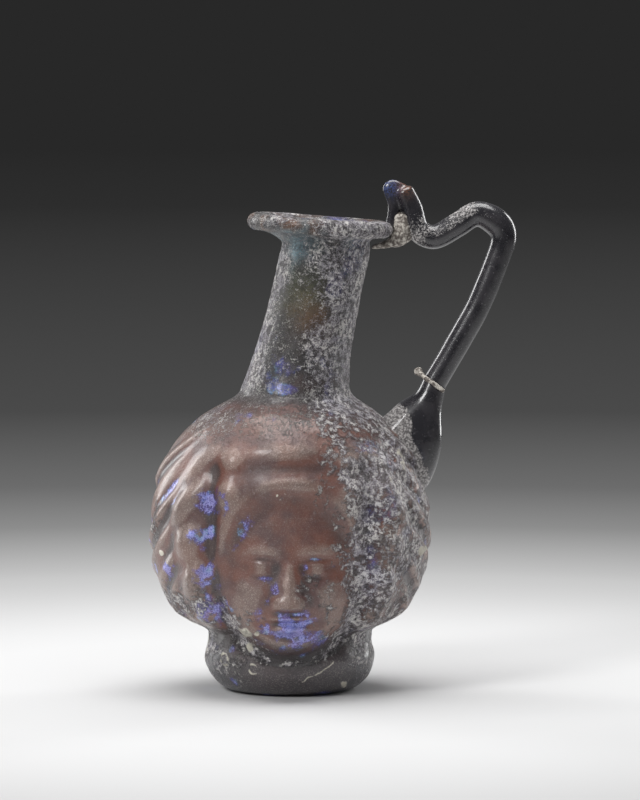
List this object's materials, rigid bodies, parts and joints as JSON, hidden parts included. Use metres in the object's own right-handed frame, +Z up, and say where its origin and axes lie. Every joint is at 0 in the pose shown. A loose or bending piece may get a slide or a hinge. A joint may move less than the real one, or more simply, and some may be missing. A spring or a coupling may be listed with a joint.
{
  "type": "double head oinochoe",
  "caption": "Mould-blown glass jug shaped as heads set back to back, with a tall leaning neck, a folded rim, a round foot and a looped handle with a thumb rest.",
  "frame": {"origin": "centre of the flat underside of the foot, on the axis of the foot and body", "axes": "+Z up; +X from the body's axis towards the handle, over the mould seam; the front head faces -Y and the back head +Y"},
  "size_m": [0.0862, 0.0618, 0.1189],
  "materials": {
    "mould_blown_glass": "satin aubergine-brown glass with a thin silvery bloom and violet-blue iridescence in the hollows",
    "weathered_glass": "dark glass under a granular pearly grey weathering crust",
    "handle_glass": "glossy near-black glass with fine drawn streaks and small crusts",
    "crusted_glass": "rough cream and grey crust over dark glass"
  },
  "bodies": {
    "root": {"foot": "weathered_glass", "front_head": "mould_blown_glass", "back_head": "mould_blown_glass", "neck": "weathered_glass", "rim": "weathered_glass", "handle_rod": "handle_glass", "thumb_rest": "handle_glass", "upper_attachment": "crusted_glass", "lower_attachment": "handle_glass", "handle_trail": "crusted_glass"}
  },
  "joints": []
}
